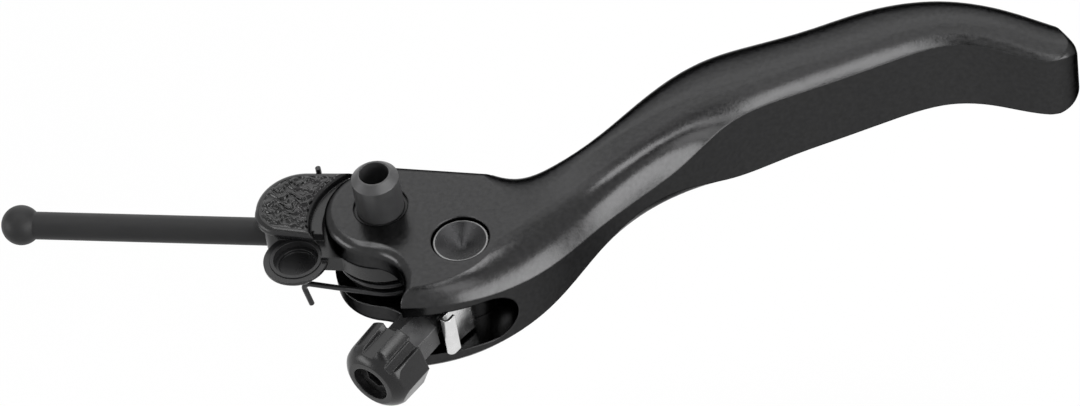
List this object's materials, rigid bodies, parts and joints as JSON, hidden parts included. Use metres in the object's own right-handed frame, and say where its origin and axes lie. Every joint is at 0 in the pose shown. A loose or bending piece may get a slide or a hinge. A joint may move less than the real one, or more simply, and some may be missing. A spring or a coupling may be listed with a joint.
{
  "type": "bicycle brake lever",
  "caption": "Hooked brake lever blade on a hollow pivot sleeve, with cam link, ball-ended pushrod, torsion return spring and a grooved knob that sets the reach.",
  "frame": {"origin": "on the pivot axis, at the mid plane between the two ears", "axes": "+Z along the pivot axis, towards the face seen in the picture; +X away from the pushrod's ball, along the pushrod; the blade's tip lies towards +X and +Y"},
  "size_m": [0.1516, 0.075, 0.028],
  "materials": {
    "blade_black": "forged aluminium, black anodised, satin",
    "sleeve_grey": "dark phosphated steel",
    "bush_plastic": "black bearing plastic",
    "cam_cast": "cast aluminium, black, coarse cast face on the head",
    "spring_wire": "black spring wire",
    "steel_black": "black oxide steel, satin",
    "barrel_turned": "turned metal, dark, ring tool marks",
    "neck_steel": "machined steel, darkened, dull",
    "knob_plastic": "moulded plastic, satin black",
    "clip_steel": "bright spring steel sheet"
  },
  "bodies": {
    "pivot": {"pivot_sleeve": "sleeve_grey"},
    "cam": {"cam_link": "cam_cast", "upper_cam_bush": "bush_plastic", "lower_cam_bush": "bush_plastic", "eye_bush": "bush_plastic", "return_spring": "spring_wire"},
    "rod": {"pushrod": "steel_black", "pushrod_barrel": "steel_black"},
    "blade": {"lever_blade": "blade_black", "upper_ear_bush": "bush_plastic", "lower_ear_bush": "bush_plastic", "upper_thrust_washer": "bush_plastic", "lower_thrust_washer": "bush_plastic", "reach_barrel": "barrel_turned", "detent_clip": "clip_steel"},
    "knob": {"reach_knob": "knob_plastic", "reach_sleeve": "neck_steel"},
    "screw": {"reach_screw": "steel_black"}
  },
  "joints": [
    {"name": "brake_stroke", "type": "hinge", "parent": "pivot", "child": "cam", "pos_m": [0, 0, 0], "axis": [0, 0, 1], "range_deg": [0, 25], "stiffness_Nm_per_rad": 0.06, "springref_deg": -45.84},
    {"name": "pushrod_swing", "type": "hinge", "parent": "cam", "child": "rod", "pos_m": [-0.0134, 0.0018, 0], "axis": [0, 0, 1], "range_deg": [-8, 8]},
    {"name": "reach_swing", "type": "hinge", "parent": "cam", "child": "blade", "pos_m": [0, 0, 0], "axis": [0, 0, 1], "range_deg": [-5.08, 5.08]},
    {"name": "knob_turn", "type": "hinge", "parent": "blade", "child": "knob", "pos_m": [0.01228, -0.00571, 0], "axis": [0.4617, 0.887, 0], "range_deg": [-540, 540]},
    {"name": "reach_advance", "type": "slide", "parent": "blade", "child": "screw", "axis": [0.4617, 0.887, 0], "range_m": [-0.00121, 0.00121]}
  ],
  "couplings": [
    {"joint": "knob_turn", "follows": "reach_swing", "ratio": 106.26},
    {"joint": "reach_advance", "follows": "reach_swing", "m_per_rad": -0.01353}
  ]
}
